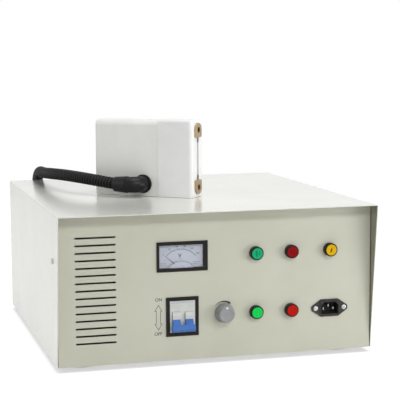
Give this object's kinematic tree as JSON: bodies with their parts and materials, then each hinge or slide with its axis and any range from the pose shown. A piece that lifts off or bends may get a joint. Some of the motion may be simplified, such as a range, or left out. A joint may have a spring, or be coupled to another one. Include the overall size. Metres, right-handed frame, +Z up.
{
  "type": "surface treater",
  "caption": "bench corona and plasma surface treater: sheet steel generator cabinet with meter, breaker, knob, lamps, buttons and mains inlet, and a loose treating head on a corrugated hose",
  "frame": {"origin": "on the standing surface, under the middle of the cabinet", "axes": "+Z up, front panel faces -Y, +X to the right as seen from the front"},
  "size_m": [0.4332, 0.7573, 0.3119],
  "materials": {
    "cover_enamel": "glossy cream enamel",
    "panel_paint": "satin beige paint",
    "black_rubber": "matte",
    "zinc_steel": "zinc plated",
    "black_plastic": "matte moulded",
    "dial_white": "printed card",
    "clear_window": "clear",
    "needle_black": "painted",
    "breaker_white": "moulded",
    "lever_blue": "moulded",
    "knob_grey": "moulded",
    "lens_green": "translucent",
    "lens_red": "translucent",
    "lens_amber": "translucent",
    "button_green": "moulded",
    "button_red": "moulded",
    "brass": "turned",
    "screw_black": "blackened",
    "wire_steel": "drawn",
    "hose_black": "corrugated",
    "chromed_wire": "bright",
    "core_steel": "varnished laminations",
    "winding_tape": "insulating tape",
    "circuit_board": "solder mask",
    "capacitor_sleeve": "shrunk sleeve",
    "sink_aluminium": "extruded",
    "head_white": "machined fluoropolymer"
  },
  "bodies": {
    "cabinet": {"top_cover": "cover_enamel", "base_tray": "cover_enamel", "front_panel": "panel_paint", "rear_panel": "panel_paint", "rubber_feet": "black_rubber", "foot_screws": "zinc_steel", "cover_side_screws": "zinc_steel", "cover_rear_screws": "zinc_steel", "meter_frame": "black_plastic", "meter_dial": "dial_white", "meter_window": "clear_window", "breaker_bezel": "black_plastic", "breaker_body": "breaker_white", "breaker_rail": "zinc_steel", "rail_bracket": "zinc_steel", "potentiometer": "zinc_steel", "run_lamp_lens": "lens_green", "stop_lamp_lens": "lens_red", "power_lamp_lens": "lens_amber", "lamp_rings": "black_plastic", "button_rings": "black_plastic", "panel_nuts": "black_plastic", "inlet_housing": "black_plastic", "inlet_pins": "brass", "inlet_screws": "zinc_steel", "hose_gland": "black_plastic", "gland_nut": "black_plastic", "hose_from_head": "hose_black", "hose_to_gland": "hose_black", "hose_coil": "hose_black", "fan_frame": "black_plastic", "fan_guard": "chromed_wire", "fan_screws": "zinc_steel", "transformer_core": "core_steel", "transformer_winding": "winding_tape", "board_pillars": "brass", "driver_board": "circuit_board", "board_capacitors": "capacitor_sleeve", "heat_sink": "sink_aluminium"},
    "breaker_toggle": {"breaker_barrel": "breaker_white", "breaker_levers": "lever_blue"},
    "knob": {"power_knob": "knob_grey", "knob_shaft": "zinc_steel"},
    "start_plunger": {"start_button": "button_green"},
    "stop_plunger": {"stop_button": "button_red"},
    "pointer": {"meter_needle": "needle_black"},
    "impeller": {"fan_rotor": "black_plastic"},
    "treating_head": {"head_housing": "head_white", "head_end_block": "head_white", "electrode_terminals": "brass", "terminal_screws": "screw_black", "electrode_wire": "wire_steel", "hose_elbow": "black_plastic"}
  },
  "joints": [
    {"name": "breaker_switch", "type": "hinge", "parent": "cabinet", "child": "breaker_toggle", "pos_m": [-0.0492, -0.206, 0.0646], "axis": [-1, 0, 0], "range_deg": [0, 74]},
    {"name": "knob_turn", "type": "hinge", "parent": "cabinet", "child": "knob", "pos_m": [0.0074, -0.2155, 0.0662], "axis": [0, 1, 0], "range_deg": [-150, 150]},
    {"name": "start_press", "type": "slide", "parent": "cabinet", "child": "start_plunger", "axis": [0, 1, 0], "range_m": [0, 0.003], "stiffness_N_per_m": 900},
    {"name": "stop_press", "type": "slide", "parent": "cabinet", "child": "stop_plunger", "axis": [0, 1, 0], "range_m": [0, 0.003], "stiffness_N_per_m": 900},
    {"name": "pointer_sweep", "type": "hinge", "parent": "cabinet", "child": "pointer", "pos_m": [-0.05005, -0.2105, 0.1263], "axis": [0, 1, 0], "range_deg": [0, 98]},
    {"name": "impeller_spin", "type": "hinge", "parent": "cabinet", "child": "impeller", "pos_m": [0.118, 0.2153, 0.111], "axis": [0, 1, 0], "continuous": true},
    {"name": "head_lift", "type": "slide", "parent": "cabinet", "child": "treating_head", "axis": [0, 0, 1], "range_m": [0, 0.06]}
  ]
}
